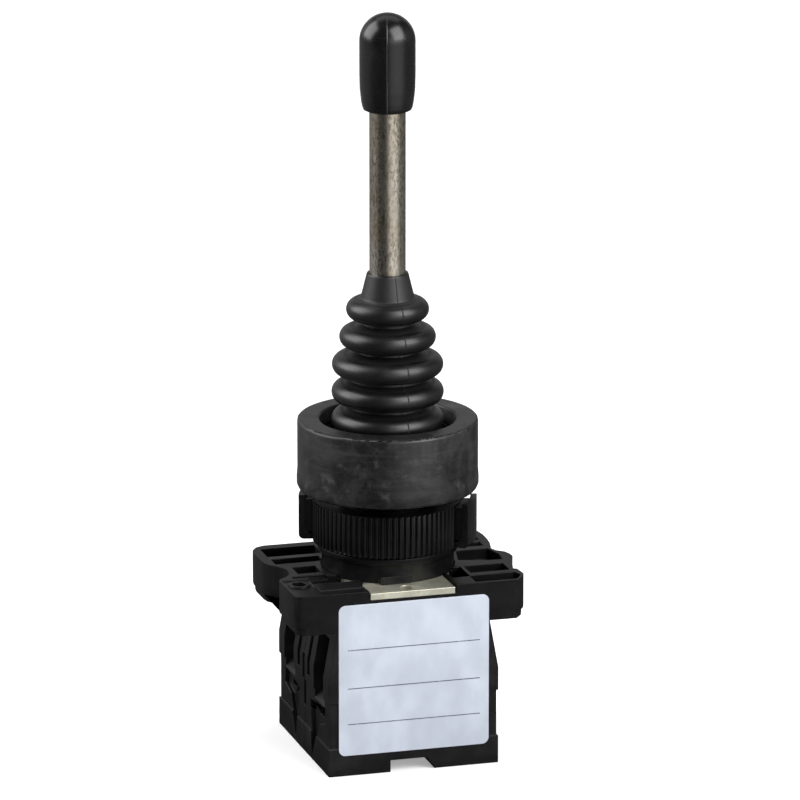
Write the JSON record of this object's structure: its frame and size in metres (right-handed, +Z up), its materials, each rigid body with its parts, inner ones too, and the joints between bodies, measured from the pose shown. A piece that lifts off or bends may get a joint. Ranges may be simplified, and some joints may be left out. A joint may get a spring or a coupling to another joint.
{
  "type": "industrial joystick switch",
  "caption": "Panel joystick switch: rod lever with knob and rubber bellows, round head, knurled ring nut, base with two contact blocks.",
  "frame": {"origin": "on the lever's axis at the height of the contact blocks' feet", "axes": "+Z up along the lever, -Y towards the labelled front, +X to the right of the label"},
  "size_m": [0.0551, 0.0413, 0.1665],
  "materials": {
    "bezel_rubber": "matte, scuffed",
    "black_moulding": "satin moulded plastic",
    "grey_moulding": "satin moulded plastic",
    "ivory_moulding": "satin moulded plastic",
    "red_moulding": "satin moulded plastic",
    "bellows_rubber": "satin",
    "gasket_rubber": "matte",
    "knob_gloss": "glossy",
    "rod_nickel": "dull nickel plate with fine scratches",
    "zinc_plate": "zinc plate",
    "plain_steel": "drawn steel",
    "spring_steel": "drawn wire",
    "contact_brass": "stamped brass",
    "label_foil": "satin metallised film"
  },
  "bodies": {
    "base": {"bezel": "bezel_rubber", "head_body": "black_moulding", "panel_gasket": "gasket_rubber", "bellows": "bellows_rubber", "bellows_clamp_ring": "black_moulding", "pivot_pin": "plain_steel", "detent_ball": "plain_steel", "detent_spring": "spring_steel", "guide_insert": "ivory_moulding", "stem_snap_ring": "spring_steel", "stem_collar": "black_moulding", "clamp_plate": "zinc_plate", "mounting_base": "black_moulding", "block_screws": "zinc_plate", "label_plate": "label_foil", "front_block_housing": "black_moulding", "rear_block_housing": "black_moulding", "front_block_cover": "grey_moulding", "rear_block_cover": "grey_moulding", "front_fixed_contacts": "contact_brass", "rear_fixed_contacts": "contact_brass", "front_wire_clamps": "zinc_plate", "rear_wire_clamps": "zinc_plate", "front_terminal_screws": "zinc_plate", "rear_terminal_screws": "zinc_plate", "front_return_spring": "spring_steel", "rear_return_spring": "spring_steel"},
    "lever": {"lever_hub": "plain_steel", "hub_roll_pin": "spring_steel", "lever_rod": "rod_nickel", "knob": "knob_gloss"},
    "nut": {"ring_nut": "black_moulding"},
    "front_plunger": {"front_push_rod": "plain_steel", "front_contact_carrier": "red_moulding", "front_contact_bridges": "contact_brass", "front_contact_springs": "spring_steel"},
    "rear_plunger": {"rear_push_rod": "plain_steel", "rear_contact_carrier": "red_moulding", "rear_contact_bridges": "contact_brass", "rear_contact_springs": "spring_steel"}
  },
  "joints": [
    {"name": "lever_tilt", "type": "hinge", "parent": "base", "child": "lever", "pos_m": [0, 0, 0.066], "axis": [1, 0, 0], "range_deg": [-20, 20], "deforming": ["bellows"]},
    {"name": "nut_turn", "type": "hinge", "parent": "base", "child": "nut", "pos_m": [0, 0, 0.0476], "axis": [0, 0, 1], "continuous": true},
    {"name": "front_plunger_slide", "type": "slide", "parent": "base", "child": "front_plunger", "axis": [0, 0, 1], "range_m": [-0.00246, 0.00246], "deforming": ["front_return_spring"]},
    {"name": "rear_plunger_slide", "type": "slide", "parent": "base", "child": "rear_plunger", "axis": [0, 0, 1], "range_m": [-0.00246, 0.00246], "deforming": ["rear_return_spring"]}
  ],
  "couplings": [
    {"joint": "front_plunger_slide", "follows": "lever_tilt", "m_per_rad": -0.0070545},
    {"joint": "rear_plunger_slide", "follows": "lever_tilt", "m_per_rad": 0.0070545}
  ]
}
